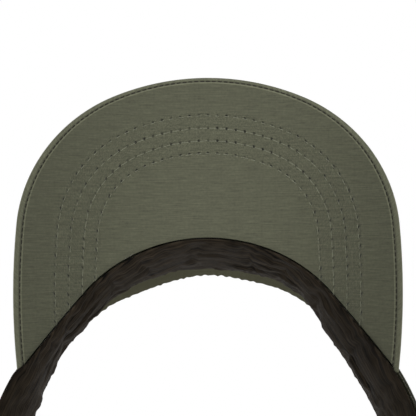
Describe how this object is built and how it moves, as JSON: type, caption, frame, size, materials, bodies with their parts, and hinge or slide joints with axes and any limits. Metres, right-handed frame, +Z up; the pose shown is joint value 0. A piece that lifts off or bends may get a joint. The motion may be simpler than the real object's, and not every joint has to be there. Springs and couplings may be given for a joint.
{
  "type": "sun visor cap",
  "caption": "Open-crown sun visor cap: an arched, rows-stitched cloth bill on a leaning band with a padded sweatband and a hook-and-loop rear closure.",
  "frame": {"origin": "centre of the head opening, in the plane of the band's lower edge", "axes": "+Z up as worn, the bill points to -Y, +X is the wearer's left"},
  "size_m": [0.19, 0.2767, 0.0799],
  "materials": {
    "ripstop": "matte olive-green ripstop weave",
    "strap_cloth": "matte olive-green doubled ripstop",
    "interfacing": "stiff off-white buckram",
    "sweatband_twill": "matte charcoal twill",
    "core_foam": "soft grey foam",
    "bill_board": "off-white flexible board",
    "loop_pile": "soft olive loop pile",
    "hook_pile": "dull olive hook tape",
    "label": "blank woven white label",
    "thread": "olive polyester thread",
    "dark_thread": "charcoal polyester thread"
  },
  "bodies": {
    "cap": {"band_facing": "ripstop", "bill_board": "bill_board", "bill_edge_stitch": "thread", "bill_stitch_row_1": "thread", "bill_stitch_row_2": "thread", "bill_stitch_row_3": "thread", "bill_stitch_row_4": "thread", "bill_top_cover": "ripstop", "bill_under_cover": "ripstop", "care_label": "label", "front_interfacing": "interfacing", "front_panel": "ripstop", "hook_strap_root": "strap_cloth", "hook_strap_tacks": "thread", "loop_patch": "loop_pile", "loop_strap": "strap_cloth", "loop_strap_tacks": "thread", "side_interfacing_left": "interfacing", "side_interfacing_right": "interfacing", "side_panel_left": "ripstop", "side_panel_right": "ripstop", "side_seam_stitch_left": "thread", "side_seam_stitch_right": "thread", "sweatband_core": "core_foam", "sweatband_face": "sweatband_twill", "sweatband_stitch": "dark_thread", "top_edge_stitch": "thread"},
    "hook_strap": {"hook_strap": "strap_cloth", "hook_patch": "hook_pile"}
  },
  "joints": [
    {"name": "hook_strap_peel", "type": "hinge", "parent": "cap", "child": "hook_strap", "pos_m": [0.03775, 0.09704, 0], "axis": [0.128, 0.1297, -0.9833], "range_deg": [0, 110]}
  ]
}
